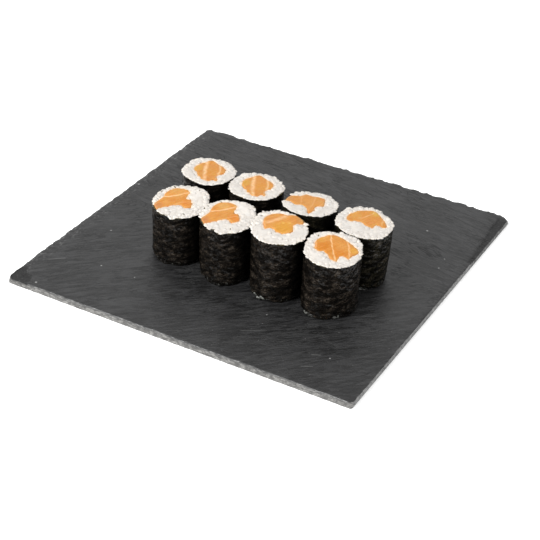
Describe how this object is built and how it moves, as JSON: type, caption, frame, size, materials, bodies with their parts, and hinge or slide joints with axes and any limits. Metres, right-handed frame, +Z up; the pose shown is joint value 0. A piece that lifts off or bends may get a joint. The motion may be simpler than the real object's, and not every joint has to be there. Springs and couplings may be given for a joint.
{
  "type": "maki sushi rolls on a slate board",
  "caption": "Short seaweed-wrapped rice rolls with raw salmon through the middle, standing close together in two rows on a square slate serving board.",
  "frame": {"origin": "middle of the slate board's underside", "axes": "+Z up; the two rows of rolls run along X, -Y is the side of the front row and of the board's nearer edge"},
  "size_m": [0.2, 0.2, 0.0412],
  "materials": {
    "slate": "matt dark grey cleft slate with lighter chipped edges",
    "nori": "blackish green roasted seaweed sheet, softly glossy and wrinkled",
    "rice": "moist white cooked short-grain rice",
    "salmon": "smooth raw salmon, orange with pale fat lines"
  },
  "bodies": {
    "root": {"slate_board": "slate", "nori_front_1": "nori", "rice_front_1": "rice", "salmon_front_1": "salmon", "nori_front_2": "nori", "rice_front_2": "rice", "salmon_front_2": "salmon", "nori_front_3": "nori", "rice_front_3": "rice", "salmon_front_3": "salmon", "nori_front_4": "nori", "rice_front_4": "rice", "salmon_front_4": "salmon", "nori_back_1": "nori", "rice_back_1": "rice", "salmon_back_1": "salmon", "nori_back_2": "nori", "rice_back_2": "rice", "salmon_back_2": "salmon", "nori_back_3": "nori", "rice_back_3": "rice", "salmon_back_3": "salmon", "nori_back_4": "nori", "rice_back_4": "rice", "salmon_back_4": "salmon"}
  },
  "joints": []
}
